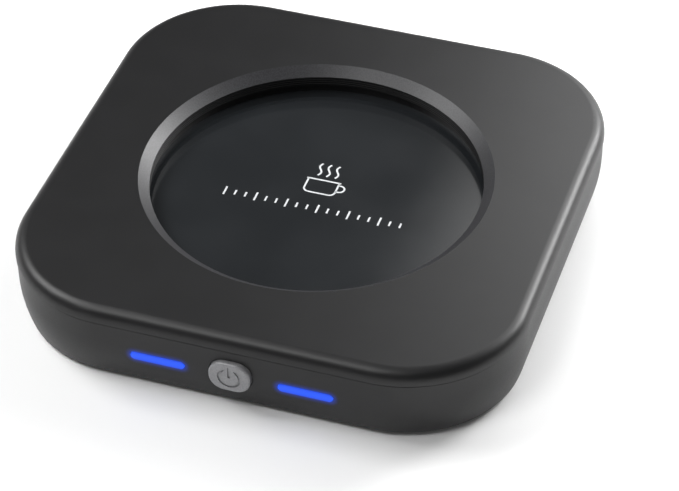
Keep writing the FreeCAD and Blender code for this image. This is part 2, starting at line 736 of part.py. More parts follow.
# Carrier ring: holds the seal and the heater stack, with four ears screwed under the cover.
def make_carrier():
    wall = rod("carrier_wall", "carrier_radius", "collar_end - pad_under", ("0", "0", "pad_under"))
    added, taken = [wall], []
    for corner, (right, back) in CORNERS.items():
        ear_x, ear_y = ("%d * ear_reach * sqrt(0.5)" % side for side in (right, back))
        added.append(rod("ear_" + corner, "ear_radius", "ear_thickness",
                         (ear_x, ear_y, "collar_end - ear_thickness")))
        web = block("web_" + corner, WEB_LENGTH, "2 * ear_radius", "ear_thickness", ("0", "0", "0"))
        web.Placement = Placement(Vector(), Rotation(Vector(0, 0, 1), math.degrees(math.atan2(back, right))))
        start = "(carrier_bore + web_setback) * sqrt(0.5)"
        half = "ear_radius * sqrt(0.5)"
        tie(web, **{"Placement.Base.x": "%d * %s + %d * %s" % (right, start, back, half),
                    "Placement.Base.y": "%d * %s - %d * %s" % (back, start, right, half),
                    "Placement.Base.z": "collar_end - ear_thickness"})
        added.append(web)
        taken.append(rod("ear_hole_" + corner, "small_pilot + 2 * screw_play", "ear_thickness",
                         (ear_x, ear_y, "collar_end - ear_thickness")))
    taken.append(rod("carrier_throat", "carrier_bore", "glass_under - pad_under", ("0", "0", "pad_under")))
    taken.append(rod("seal_seat", "seal_radius + screw_play", "collar_end - glass_under",
                     ("0", "0", "glass_under")))
    for index in range(BACKPLATE_SCREWS):
        at_x, at_y = ring_place(index)
        taken.append(rod("carrier_pilot_%d" % index, "small_pilot", "backplate_screw_length",
                         (at_x, at_y, "pad_under")))
    piece("plate_carrier", cut("carrier", join("carrier_blank", *added), *taken))
    screws = [screw("carrier_screw_" + corner, "small_pilot", "carrier_screw_length", "small_head_radius",
                    "small_head_height", ("%d * ear_reach * sqrt(0.5)" % right,
                                          "%d * ear_reach * sqrt(0.5)" % back, "collar_end - ear_thickness"))
              for corner, (right, back) in CORNERS.items()]
    piece("carrier_screws", group("carrier_screw_set", *screws))


def ring_place(index):
    """Where a backplate screw stands on its circle."""
    angle = math.radians(360 / BACKPLATE_SCREWS * index)
    return tuple("%f * backplate_screw_circle" % part for part in (math.cos(angle), math.sin(angle)))


TERMINALS = {
    # each heater terminal stands under an end of the track: its side of the gap and its turn
    "inner": (-1, 0),
    "outer": (1, TRACK_TURNS - 1),
}


def terminal_place(name):
    side, turn = TERMINALS[name]
    return ("%d * (track_gap / 2 + terminal_width / 2)" % side, "-(track_first + %d * track_pitch)" % turn)


# Heater: aluminium spreader, foil track between mica sheets, fibre pad and a screwed steel plate.
def make_heater():
    piece("heat_spreader", rod("spreader", "spreader_radius", "spreader_thickness",
                               ("0", "0", "spreader_under")))
    piece("mica_sheet_top", rod("mica_upper", "sheet_radius", "mica_thickness", ("0", "0", "track_top")))

    turns = []
    for turn in range(TRACK_TURNS):
        middle = "(track_first + %d * track_pitch)" % turn
        loop = ring("loop_%d" % turn, middle + " + track_width / 2", middle + " - track_width / 2",
                    "track_thickness", ("0", "0", "track_under"))
        gap = block("loop_gap_%d" % turn, "track_gap", "track_pitch", "track_thickness",
                    ("0", "-" + middle, "track_under"))
        turns.append(cut("open_loop_%d" % turn, loop, gap))
        if turn + 1 < TRACK_TURNS:
            side = 1 if turn % 2 == 0 else -1
            turns.append(block("bridge_%d" % turn, "track_width", "track_pitch", "track_thickness",
                               ("%d * (track_gap + track_width) / 2" % side,
                                "-(%s + track_pitch / 2)" % middle, "track_under")))
    piece("heating_track", join("track", *turns))

    def with_terminal_holes(name, disc, thickness, level, extra=()):
        holes = [rod("%s_%s_hole" % (name, key), "terminal_hole", thickness, terminal_place(key) + (level,))
                 for key in TERMINALS]
        return cut(name, disc, *holes, *extra)

    lower = rod("mica_lower_disc", "sheet_radius", "mica_thickness", ("0", "0", "pad_top"))
    piece("mica_sheet_bottom", with_terminal_holes("mica_lower", lower, "mica_thickness", "pad_top"))
    pad_disc = rod("pad_disc", "sheet_radius", "pad_thickness", ("0", "0", "pad_under"))
    piece("insulation_pad", with_terminal_holes("fibre_pad", pad_disc, "pad_thickness", "pad_under"))
    plate = rod("backplate_disc", "backplate_radius", "backplate_thickness", ("0", "0", "backplate_under"))
    screw_holes = [rod("backplate_hole_%d" % index, "small_pilot + 2 * screw_play", "backplate_thickness",
                       ring_place(index) + ("backplate_under",)) for index in range(BACKPLATE_SCREWS)]
    piece("heater_backplate", with_terminal_holes("backplate", plate, "backplate_thickness", "backplate_under",
                                                  screw_holes))
    screws = [screw("backplate_screw_%d" % index, "small_pilot",
                    "backplate_screw_length + backplate_thickness - tip_gap", "small_head_radius",
                    "small_head_height", ring_place(index) + ("backplate_under",))
              for index in range(BACKPLATE_SCREWS)]
    piece("backplate_screws", group("backplate_screw_set", *screws))
    for key in TERMINALS:
        at_x, at_y = terminal_place(key)
        tab = block("tab_" + key, "terminal_thickness", "terminal_width",
                    "track_under - backplate_under + terminal_hang",
                    (at_x, at_y, "backplate_under - terminal_hang"))
        piece("heater_terminal_" + key, tab)


FUSE_X = "fuse_offset"
FUSE_END = "-(track_first + 2 * track_pitch)"
THERMISTOR_X = "thermistor_place"
THERMISTOR_END = "-thermistor_end"


# Sensors against the backplate: the thermal fuse in its strap and the thermistor bead.
def make_sensors():
    level = "backplate_under - thermal_fuse_radius"
    start = "%s - thermal_fuse_length" % FUSE_END
    piece("thermal_fuse", rod("fuse_body", "thermal_fuse_radius", "thermal_fuse_length",
                              (FUSE_X, start, level), "y"))
    middle = "%s - thermal_fuse_length / 2 - clip_width / 2" % FUSE_END
    strap = ring("strap", "thermal_fuse_radius + screw_play + clip_thickness",
                 "thermal_fuse_radius + screw_play", "clip_width", (FUSE_X, middle, level), "y")
    upper = block("strap_upper", "4 * thermal_fuse_radius", "clip_width", "2 * thermal_fuse_radius",
                  (FUSE_X, "%s + clip_width / 2" % middle, "backplate_under - clip_thickness"))
    ears = [block("strap_ear_%d" % (side + 1), "clip_ear", "clip_width", "clip_thickness",
                  ("(%s) + %d * (thermal_fuse_radius + screw_play + clip_ear / 2)" % (FUSE_X, side),
                   "%s + clip_width / 2" % middle, "backplate_under - clip_thickness")) for side in (-1, 1)]
    walls = [block("strap_wall_%d" % (side + 1), "clip_thickness", "clip_width", "thermal_fuse_radius",
                   ("(%s) + %d * (thermal_fuse_radius + screw_play + clip_thickness / 2)" % (FUSE_X, side),
                    "%s + clip_width / 2" % middle, level)) for side in (-1, 1)]
    lower = cut("strap_lower", strap, upper)
    piece("fuse_clip", join("clip", lower, *walls, *ears))
    piece("thermistor", rod("bead", "thermistor_radius", "thermistor_length",
                            (THERMISTOR_X, "%s - thermistor_length" % THERMISTOR_END,
                             "backplate_under - thermistor_radius"), "y"))


# Main board on four standoffs, with its screws and its larger components.
def make_main_board():
    width = "2 * board_half_width"
    depth = "board_back - board_front"
    slab = block("board_slab", width, depth, "board_thickness",
                 ("0", "(board_front + board_back) / 2", "board_under"))
    holes, screws = [], []
    for side in (-1, 1):
        for where in ("front", "back"):
            spot = ("%d * standoff_x" % side, "standoff_" + where)
            tag = "%s_%d" % (where, side + 1)
            holes.append(rod("board_hole_" + tag, "small_pilot + 2 * screw_play", "board_thickness",
                             spot + ("board_under",)))
            screws.append(screw("board_screw_" + tag, "small_pilot", "board_screw_length", "small_head_radius",
                                "small_head_height", spot + ("board_top",), up=False))
    piece("main_board", cut("board", slab, *holes))
    piece("board_screws", group("board_screw_set", *screws))

    middle_x, middle_y = "standoff_x / 2", "(board_back - terminal_body_width / 2)"
    terminal = block("terminal_body", "terminal_body_length", "terminal_body_width", "terminal_body_height",
                     (middle_x, middle_y, "board_top"))
    hollows = []
    for index in (-1, 0, 1):
        at_x = "%s + %d * port_pitch" % (middle_x, index)
        hollows.append(rod("terminal_port_%d" % (index + 1), "port_radius", "port_depth",
                           (at_x, "board_back - port_depth", "board_top + port_level"), "y"))
        hollows.append(rod("terminal_well_%d" % (index + 1), "port_radius",
                           "terminal_body_height - 2 * port_level",
                           (at_x, middle_y, "board_top + 2 * port_level")))
    piece("terminal_block", cut("terminal", terminal, *hollows))

    at = ("-(standoff_x - can_offset)", "board_back - can_inset")
    can = rod("can", "can_radius", "can_height", at + ("board_top",))
    groove = ring("can_groove", "can_radius + can_groove_depth", "can_radius - can_groove_depth",
                  "can_groove_width", at + ("board_top + can_groove_level",))
    piece("smoothing_capacitor", cut("capacitor", can, groove))
    at_x = "-(standoff_x - triac_offset)"
    package = block("triac_package", "triac_length", "triac_width", "triac_height",
                    (at_x, "standoff_back", "board_top"))
    tab = block("triac_tongue", "triac_length", "triac_tab", "triac_tab_height",
                (at_x, "standoff_back - (triac_width + triac_tab) / 2", "board_top"))
    piece("triac", join("triac_body", package, tab))
    piece("input_fuse", rod("fuse_can", "fuse_can_radius", "fuse_can_height",
                            ("board_half_width - fuse_can_side", "board_back - fuse_can_inset", "board_top")))
    piece("control_chip", make_chip())


CHIP_LEGS = 8


def make_chip():
    """A flat package with a row of legs along each side."""
    body = block("chip_body", "chip_length", "chip_width - leg_length", "chip_height - leg_width / 2",
                 ("0", "chip_place", "board_top + leg_width / 2"))
    legs = []
    for side in (-1, 1):
        for index in range(CHIP_LEGS):
            legs.append(block("chip_leg_%d_%d" % (side + 1, index), "leg_width", "leg_length", "leg_width",
                              ("%g * leg_pitch" % (index - (CHIP_LEGS - 1) / 2),
                               "chip_place + %d * (chip_width - leg_length) / 2" % side, "board_top")))
    return join("chip", body, *legs)


# Front board with the switch, the light-emitting packages and its two screws.
def make_front_board():
    face = "-front_board_face"
    foot = "floor_top + front_board_lift"
    middle = "-(front_board_face - board_thickness / 2)"
    slab = block("front_slab", "front_board_width", "board_thickness", "front_board_height", ("0", middle, foot))
    level = "%s + front_board_height / 2" % foot
    holes = [rod("front_hole_%d" % (side + 1), "small_pilot + 2 * screw_play", "board_thickness",
                 ("%d * front_post_place" % side, face, level), "y") for side in (-1, 1)]
    piece("front_board", cut("front_card", slab, *holes))
    screws = [screw("front_screw_%d" % (side + 1), "small_pilot", "front_screw_length", "small_head_radius",
                    "small_head_height", ("%d * front_post_place" % side, face, level), "y") for side in (-1, 1)]
    piece("front_board_screws", group("front_screw_set", *screws))
    for side, name in ((-1, "left"), (1, "right")):
        piece("led_" + name, block("led_body_" + name, "led_length", "led_height", "led_width",
                                   ("%d * bar_place" % side, "-(front_board_face + led_height / 2)",
                                    "bar_level - led_width / 2")))


# Tact switch: housing with a well, steel cover, spring dome and the stem that the button pushes.
def make_switch():
    shell = block("switch_block", "switch_width", "switch_depth", "switch_width",
                  ("0", "-(front_board_face + switch_depth / 2)", "button_level - switch_width / 2"))
    well = rod("switch_well_hole", "well_radius", "switch_well",
               ("0", "-(front_board_face + switch_depth)", "button_level"), "y")
    piece("switch_housing", cut("switch_shell", shell, well))
    sheet_metal = block("switch_sheet", "switch_width", "switch_plate", "switch_width",
                        ("0", "-(front_board_face + switch_depth + switch_plate / 2)",
                         "button_level - switch_width / 2"))
    mouth = rod("switch_mouth", "stem_radius + screw_play", "switch_plate",
                ("0", "-(front_board_face + switch_depth + switch_plate)", "button_level"), "y")
    piece("switch_cover", cut("switch_lid", sheet_metal, mouth))
    shaft = rod("stem_shaft", "stem_radius", "stem_reach + switch_plate + stem_foot / 2",
                ("0", "-stem_tip", "button_level"), "y")
    foot = rod("stem_foot_disc", "stem_foot_radius", "stem_foot",
               ("0", "-(front_board_face + switch_depth)", "button_level"), "y")
    piece("switch_stem", join("stem", shaft, foot))
    floor = "-(front_board_face + switch_depth - switch_well)"
    rise = "switch_well - stem_foot - button_travel - screw_play"
    outer = cone("dome_outer", "dome_crown", "well_radius - 2 * screw_play", rise,
                 ("0", "%s - (%s)" % (floor, rise), "button_level"), "y")
    inner = cone("dome_inner", "dome_crown - dome_thickness", "well_radius - 2 * screw_play - dome_thickness",
                 rise, ("0", "%s - (%s) + dome_thickness" % (floor, rise), "button_level"), "y")
    piece("switch_dome", cut("dome", outer, inner))


# Power button: soft-edged cap with an engraved on-off mark, a retaining flange and a plunger.
def make_button():
    cap = doc.addObject("PartDesign::Body", "button_cap")
    plan = rounded_sketch(cap, "button_plan", "XZ_Plane", "button_width", "button_height", "button_corner",
                          "outer_reach", ("0", "button_level"))
    solid = pad(cap, plan, "outer_reach - inner_half + button_flange", "button_pad")
    solid.Reversed = True
    doc.recompute()
    front = -size("outer_reach")
    names = edges_where(solid, lambda point: near(point.y, front))
    fillet(cap, solid, names, "button_edge", "button_front_edge")
    flange = block("button_stop", "button_width + 2 * button_flange_lap", "button_flange",
                   "button_height + 2 * button_flange_lap",
                   ("0", "-(inner_half - button_flange / 2)",
                    "button_level - button_height / 2 - button_flange_lap"))
    plunger = rod("button_plunger", "plunger_radius", "inner_half - stem_tip",
                  ("0", "-inner_half", "button_level"), "y")
    solid_button = join("button_blank", cap, flange, plunger)
    face = ("0", "-outer_reach", "button_level")
    loop = ring("mark_loop", "mark_radius + mark_line / 2", "mark_radius - mark_line / 2", "mark_depth",
                face, "y")
    mouth = block("mark_mouth", "mark_radius", "2 * mark_depth", "2 * mark_radius",
                  ("0", "-outer_reach", "button_level"))
    arc = cut("mark_arc", loop, mouth)
    bar = block("mark_bar", "mark_line", "2 * mark_depth", "mark_bar",
                ("0", "-outer_reach", "button_level"))
    piece("power_button", cut("button", solid_button, arc, bar))


# Light guides: clear bars flush in the front wall, with a glued flange and a stub towards each lamp.
def make_light_guides():
    for side, name in ((-1, "left"), (1, "right")):
        middle = "%d * bar_place" % side
        front = stadium("guide_front_" + name, "bar_length", "bar_height",
                        "bar_face - inner_half + guide_flange / 2", middle, "-bar_face", "bar_level")
        flange = block("guide_flange_" + name, "bar_length + 2 * guide_flange_lap", "guide_flange",
                       "bar_height + 2 * guide_flange_lap",
                       (middle, "-(inner_half - guide_flange / 2)",
                        "bar_level - bar_height / 2 - guide_flange_lap"))
        stub_end = "(front_board_face + led_height + led_gap)"
        stub = block("guide_stub_" + name, "led_length", "inner_half - guide_flange / 2 - " + stub_end,
                     "led_width", (middle, "-(inner_half - guide_flange / 2 + %s) / 2" % stub_end,
                                   "bar_level - led_width / 2"))
        piece("light_guide_" + name, join("guide_" + name, front, flange, stub))


# Wires that stay inside, with their ends square on the pieces they join.
def make_wires():
    inner_x, inner_y = terminal_place("inner")
    outer_x, outer_y = terminal_place("outer")
    fuse_level = "backplate_under - thermal_fuse_radius"
    half_tab = "terminal_thickness / 2"
    piece("heater_lead_inner", wire("lead_inner", "wire_radius", [
        ("%s - %s" % (inner_x, half_tab), inner_y, "wire_level"),
        ("%s - lead_offset" % inner_x, inner_y, "wire_level"),
        ("%s - lead_offset" % inner_x, "board_front - 2 * lead_landing", "wire_level"),
        ("%s - lead_offset - lead_shift" % inner_x, "board_front - lead_landing", "wire_level"),
        ("%s - lead_offset - lead_shift" % inner_x, "board_front", "wire_level")]))
    piece("heater_lead_outer", wire("lead_outer", "wire_radius", [
        ("%s + %s" % (outer_x, half_tab), outer_y, fuse_level),
        (FUSE_X, outer_y, fuse_level),
        (FUSE_X, "%s - thermal_fuse_length" % FUSE_END, fuse_level)]))
    piece("fuse_lead", wire("lead_fuse", "wire_radius", [
        (FUSE_X, FUSE_END, fuse_level),
        (FUSE_X, "%s + lead_straight" % FUSE_END, fuse_level),
        (FUSE_X, "board_front - 2 * lead_landing", "wire_level"),
        (FUSE_X, "board_front", "wire_level")]))
    bead_level = "backplate_under - thermistor_radius"
    for side, name in ((-1, "left"), (1, "right")):
        at_x = "%s + %d * thermistor_radius / 2" % (THERMISTOR_X, side)
        piece("thermistor_lead_" + name, wire("lead_bead_" + name, "thin_wire_radius", [
            (at_x, THERMISTOR_END, bead_level),
            (at_x, "%s + lead_straight / 2" % THERMISTOR_END, bead_level),
            (at_x, "board_front - lead_landing", "wire_level"),
            (at_x, "board_front", "wire_level")]))
    back = "-(front_board_face - board_thickness)"
    piece("board_cable", block("flat_cable", "cable_width", "board_front - (%s)" % back, "cable_thickness",
                               ("cable_place", "(board_front + %s) / 2" % back,
                                "wire_level - cable_thickness / 2")))


make_base_shell()
make_top_cover()
make_feet()
make_cover_screws()
make_cord_bush()
make_glass_and_seal()
make_carrier()
make_heater()
make_sensors()
make_main_board()
make_front_board()
make_switch()
make_button()
make_light_guides()
make_wires()
doc.recompute()

faults = [thing.Name for thing in doc.Objects if {"Invalid", "Error"} & set(thing.State)]
if faults:
    raise RuntimeError("failed objects: " + ", ".join(faults))
os.makedirs("parts", exist_ok=True)
for thing in pieces:
    if thing.Shape.isNull() or not thing.Shape.isValid():
        raise RuntimeError("no sound shape: " + thing.Label)
    thing.Shape.exportStep("parts/%s.step" % thing.Label)
    print(thing.Label, len(thing.Shape.Solids), round(thing.Shape.Volume, 2))
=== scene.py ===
import math

import bpy
from mathutils import Matrix, Vector


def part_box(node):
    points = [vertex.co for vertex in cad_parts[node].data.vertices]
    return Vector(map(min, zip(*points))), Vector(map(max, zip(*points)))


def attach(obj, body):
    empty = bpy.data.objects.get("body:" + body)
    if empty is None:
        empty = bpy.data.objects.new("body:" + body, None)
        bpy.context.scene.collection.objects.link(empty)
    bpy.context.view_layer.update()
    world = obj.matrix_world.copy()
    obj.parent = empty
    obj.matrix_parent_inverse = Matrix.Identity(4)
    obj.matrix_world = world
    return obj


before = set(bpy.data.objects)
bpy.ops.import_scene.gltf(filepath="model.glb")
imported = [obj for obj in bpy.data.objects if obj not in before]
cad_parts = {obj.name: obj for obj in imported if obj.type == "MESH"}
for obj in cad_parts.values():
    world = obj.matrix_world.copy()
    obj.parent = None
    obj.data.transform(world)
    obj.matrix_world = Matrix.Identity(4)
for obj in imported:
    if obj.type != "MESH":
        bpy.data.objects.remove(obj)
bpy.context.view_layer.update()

MM = 0.001

# Camera, matched to the photograph: it stands to the front right and looks down on the top.
TARGET = Vector((5.72, -1.72, 1.0)) * MM
AZIMUTH = math.radians(18.66)
ELEVATION = math.radians(40.95)
ROLL = math.radians(-0.77)
DISTANCE = 632.5 * MM
LENS = 149.6
SENSOR = 36.0
CLIP_START = 0.01
CLIP_END = 20

# Light bars: middle, level and size.
BAR_LOW, BAR_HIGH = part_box("light_guide_right")
BAR_PLACE = (BAR_LOW.x + BAR_HIGH.x) / 2
BAR_LEVEL = (BAR_LOW.z + BAR_HIGH.z) / 2
BAR_LENGTH = 12.1 * MM
BAR_HEIGHT = 2.0 * MM

# Painted glow: the blue spill of the light bars, painted as emission on the wall round them.
WALL_ZONE = 2.5 * MM
FRONT_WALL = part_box("base_shell")[0].y + WALL_ZONE
GLOW_REACH = 1.7 * MM
GLOW_STRENGTH = 0.34
GLOW_FALL = 2.5

# Sloped ring round the recess, and the wall under it.
COVER_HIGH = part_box("top_cover")[1]
RING_MARGIN = 17.75 * MM
RING_DEPTH = 1.9 * MM
EDGE_SLACK = 0.03 * MM
FOOT_SLACK = 0.02 * MM
RING_RADIUS = COVER_HIGH.x - RING_MARGIN + EDGE_SLACK
RING_FOOT = COVER_HIGH.z - RING_DEPTH - FOOT_SLACK
RING_ROUGHNESS = 0.42
TURNED_PITCH = 0.55 * MM
TURNED_DEPTH = 0.06 * MM

# Print on the glass, in millimetres: line, mug, handle, steam and ticks.
GLASS_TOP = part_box("glass_plate")[1].z / MM
PRINT_LINE = 0.42
PRINT_THICKNESS = 0.03
MUG_HALF = 3.6
MUG_RIM = 5.2
MUG_FLOOR = 0.6
MUG_CORNER = 1.3
RIM_OVERHANG = 0.4
HANDLE_LEVEL = 3.3
HANDLE_RADIUS = 1.1
HANDLE_REACH = 0.6
HANDLE_OVERLAP = 0.1
STEAM_GAP = 2.0
STEAM_START = 6.6
STEAM_RISE = 4.2
STEAM_SWAY = 0.45
STEAM_STEPS = 16
TICKS = 18
TICK_START = -20.0
TICK_PITCH = 2.4
TICK_LEVEL = -4.6
LONG_TICK = 1.4
SHORT_TICK = 0.8
LONG_EVERY = 3

# Shading of the frame's pieces.
WELD = 0.002 * MM
CRISP_ANGLE = math.radians(28)

# Floor and light levels.
FLOOR_HALF = 3.0
FLOOR_LIFT = 0.02
WALL_LEVEL = 0.6
CEILING_LEVEL = 0.1
WALL_TOP = 0.02
CEILING_START = 0.24
SOFT_SIDE = 0.2
SOFT_EDGE = 0.25


# Helpers

def colour(text):
    """An sRGB hex colour as linear values."""
    values = [int(text[place:place + 2], 16) / 255 for place in (0, 2, 4)]
    return tuple(v / 12.92 if v <= 0.04045 else ((v + 0.055) / 1.055) ** 2.4 for v in values) + (1.0,)


def node(tree, kind, inputs=None, **settings):
    """Add a node, set its settings, give each input a value or a link, and return its outputs."""
    added = tree.nodes.new(kind)
    for name, value in settings.items():
        setattr(added, name, value)
    for key, value in (inputs or {}).items():
        if isinstance(value, bpy.types.NodeSocket):
            tree.links.new(value, added.inputs[key])
        else:
            added.inputs[key].default_value = value
    return added.outputs


def surface(name, **inputs):
    """A material with one principled shader. Returns its tree, the shader and the material."""
    made = bpy.data.materials.new(name)
    made.use_nodes = True
    shader = made.node_tree.nodes["Principled BSDF"]
    for key, value in inputs.items():
        shader.inputs[key.replace("_", " ")].default_value = value
    return made.node_tree, shader, made


def grit(tree, millimetres, detail=2.0):
    """Random patches of a real size, fixed to the piece."""
    place = node(tree, "ShaderNodeTexCoord")["Object"]
    return node(tree, "ShaderNodeTexNoise",
                {"Vector": place, "Scale": 1 / (millimetres * MM), "Detail": detail})[0]


def two_shades(tree, first, second, millimetres, detail=3.0):
    """Two near shades of one colour in soft patches."""
    share = node(tree, "ShaderNodeMapRange", {0: grit(tree, millimetres, detail), 1: 0.35, 2: 0.65},
                 interpolation_type="SMOOTHSTEP")[0]
    return node(tree, "ShaderNodeMix", {0: share, 6: colour(first), 7: colour(second)}, data_type="RGBA")[2]


def roughened(tree, shader, millimetres, depth, strength):
    """Give a surface fine relief, with its grit's size and depth in millimetres."""
    relief = node(tree, "ShaderNodeBump",
                  {"Height": grit(tree, millimetres), "Strength": strength, "Distance": depth * MM})[0]
    tree.links.new(relief, shader.inputs["Normal"])


# Black ABS from a spark-eroded mould: near black, and its fine grain spreads every highlight wide.
# The real grain is about 0.05 mm, so it is drawn coarser, to show.
def spark_textured_abs(name):
    tree, shader, made = surface(name, Roughness=0.43, IOR=1.45)
    shade = two_shades(tree, "111112", "141415", 9.0)
    tree.links.new(shade, shader.inputs["Base Color"])
    grain = grit(tree, 0.22)
    rough = node(tree, "ShaderNodeMapRange", {0: grain, 1: 0.3, 2: 0.7, 3: 0.39, 4: 0.47},
                 interpolation_type="SMOOTHSTEP")[0]
    tree.links.new(rough, shader.inputs["Roughness"])
    relief = node(tree, "ShaderNodeBump", {"Height": grain, "Strength": 0.5, "Distance": 0.012 * MM})[0]
    tree.links.new(relief, shader.inputs["Normal"])
    return tree, shader, made, shade, rough, relief


# The cover: the same ABS, with painted sheen, a paler colour, on the slope round the recess, and turned
# rings on the wall under it.
def cover_abs():
    tree, shader, made, shade, rough, relief = spark_textured_abs("spark_textured_abs_cover")
    place = node(tree, "ShaderNodeTexCoord")["Object"]
    x, y, z = node(tree, "ShaderNodeSeparateXYZ", {0: place})
    flat = node(tree, "ShaderNodeCombineXYZ", {0: x, 1: y})[0]
    reach = node(tree, "ShaderNodeVectorMath", {0: flat}, operation="LENGTH")["Value"]
    inside = node(tree, "ShaderNodeMath", {0: reach, 1: RING_RADIUS}, operation="LESS_THAN")[0]
    above = node(tree, "ShaderNodeMath", {0: z, 1: RING_FOOT}, operation="GREATER_THAN")[0]
    slope = node(tree, "ShaderNodeMath", {0: inside, 1: above}, operation="MULTIPLY")[0]
    wall = node(tree, "ShaderNodeMath", {0: inside, 1: slope}, operation="SUBTRACT")[0]
    finish = node(tree, "ShaderNodeMix", {0: slope, 2: rough, 3: RING_ROUGHNESS}, data_type="FLOAT")[0]
    tree.links.new(finish, shader.inputs["Roughness"])
    # Painted sheen: the slope gets a paler copy of the ABS colour, standing in for the light it catches.
    painted_sheen = two_shades(tree, "232325", "313134", 0.3, 2.0)
    both = node(tree, "ShaderNodeMix", {0: slope, 6: shade, 7: painted_sheen}, data_type="RGBA")[2]
    tree.links.new(both, shader.inputs["Base Color"])
    turn = node(tree, "ShaderNodeMath", {0: z, 1: 2 * math.pi / TURNED_PITCH}, operation="MULTIPLY")[0]
    wave = node(tree, "ShaderNodeMath", {0: turn}, operation="SINE")[0]
    grooves = node(tree, "ShaderNodeMath", {0: wave, 1: wall}, operation="MULTIPLY")[0]
    turned = node(tree, "ShaderNodeBump",
                  {"Height": grooves, "Strength": 1.0, "Distance": TURNED_DEPTH, "Normal": relief})[0]
    tree.links.new(turned, shader.inputs["Normal"])
    return made


# The base: the same ABS, and a painted blue glow on the wall round the light bars, standing in for the
# light they spill.
def base_abs():
    tree, shader, made = spark_textured_abs("spark_textured_abs_base")[:3]
    place = node(tree, "ShaderNodeTexCoord")["Object"]
    x, y, z = node(tree, "ShaderNodeSeparateXYZ", {0: place})
    across = node(tree, "ShaderNodeMath", {0: x}, operation="ABSOLUTE")[0]
    from_bar = node(tree, "ShaderNodeMath", {0: across, 1: BAR_PLACE}, operation="SUBTRACT")[0]
    aside = node(tree, "ShaderNodeMath", {0: from_bar}, operation="ABSOLUTE")[0]
    half_straight = (BAR_LENGTH - BAR_HEIGHT) / 2
    past_straight = node(tree, "ShaderNodeMath", {0: aside, 1: half_straight}, operation="SUBTRACT")[0]
    along = node(tree, "ShaderNodeMath", {0: past_straight, 1: 0.0}, operation="MAXIMUM")[0]
    above = node(tree, "ShaderNodeMath", {0: z, 1: BAR_LEVEL}, operation="SUBTRACT")[0]
    offset = node(tree, "ShaderNodeCombineXYZ", {0: along, 1: above})[0]
    reach = node(tree, "ShaderNodeVectorMath", {0: offset}, operation="LENGTH")["Value"]
    near = node(tree, "ShaderNodeMapRange",
                {0: reach, 1: BAR_HEIGHT / 2, 2: BAR_HEIGHT / 2 + GLOW_REACH, 3: 1.0, 4: 0.0},
                interpolation_type="LINEAR")[0]
    falling = node(tree, "ShaderNodeMath", {0: near, 1: GLOW_FALL}, operation="POWER")[0]
    # Painted glow: emission on the front wall near the bars, fading with distance, stands in for their
    # spilled light.
    front = node(tree, "ShaderNodeMath", {0: y, 1: FRONT_WALL}, operation="LESS_THAN")[0]
    painted_spill = node(tree, "ShaderNodeMath", {0: falling, 1: front}, operation="MULTIPLY")[0]
    painted_glow = node(tree, "ShaderNodeMath", {0: painted_spill, 1: GLOW_STRENGTH}, operation="MULTIPLY")[0]
    tree.links.new(painted_glow, shader.inputs["Emission Strength"])
    shader.inputs["Emission Color"].default_value = colour("1450FF")
    return made


# Sprayed ABS: a silver-grey satin with a faint metallic speckle.
def satin_grey_paint():
    tree, shader, made = surface("satin_grey_paint", Roughness=0.4, Metallic=0.25)
    tree.links.new(two_shades(tree, "8A8A8C", "949496", 0.3), shader.inputs["Base Color"])
    roughened(tree, shader, 0.15, 0.006, 0.4)
    return made


# Toughened glass with a black back print: deep and smooth, and a soft clear reflection lies on top.
def back_printed_glass():
    tree, shader, made = surface("back_printed_glass", Roughness=0.16, IOR=1.4, Coat_Weight=0.2,
                                 Coat_Roughness=0.05)
    tree.links.new(two_shades(tree, "1E2022", "222426", 20.0), shader.inputs["Base Color"])
    rough = node(tree, "ShaderNodeMapRange", {0: grit(tree, 14.0), 1: 0.3, 2: 0.7, 3: 0.13, 4: 0.19},
                 interpolation_type="SMOOTHSTEP")[0]
    tree.links.new(rough, shader.inputs["Roughness"])
    return made


# Screen-printed silver ink: pale, thin and slightly rough.
def silver_ink():
    tree, shader, made = surface("silver_ink", Roughness=0.45)
    tree.links.new(two_shades(tree, "C2C4C6", "D4D6D8", 0.4), shader.inputs["Base Color"])
    roughened(tree, shader, 0.2, 0.004, 0.4)
    return made


# Milky acrylic lit from behind: saturated blue, a touch brighter along its middle.
def lit_acrylic():
    tree, shader, made = surface("lit_blue_acrylic", Base_Color=colour("04103A"), Roughness=0.45, IOR=1.49,
                                 Emission_Strength=1.0)
    place = node(tree, "ShaderNodeTexCoord")["Object"]
    z = node(tree, "ShaderNodeSeparateXYZ", {0: place})[2]
    above = node(tree, "ShaderNodeMath", {0: z, 1: BAR_LEVEL}, operation="SUBTRACT")[0]
    off = node(tree, "ShaderNodeMath", {0: above}, operation="ABSOLUTE")[0]
    middle = node(tree, "ShaderNodeMapRange", {0: off, 1: 0.0, 2: BAR_HEIGHT / 2, 3: 1.0, 4: 0.0},
                  interpolation_type="SMOOTHSTEP")[0]
    blue = node(tree, "ShaderNodeMix", {0: middle, 6: colour("0648E8"), 7: colour("1458FF")},
                data_type="RGBA")[2]
    tree.links.new(blue, shader.inputs["Emission Color"])
    return made


# What is mostly out of sight: each gets its own two near shades and a fine texture.
def plain(name, first, second, roughness, metallic=0.0, patch=2.0, grain=0.25):
    tree, shader, made = surface(name, Roughness=roughness, Metallic=metallic)
    tree.links.new(two_shades(tree, first, second, patch), shader.inputs["Base Color"])
    roughened(tree, shader, grain, 0.01, 0.3)
    return made


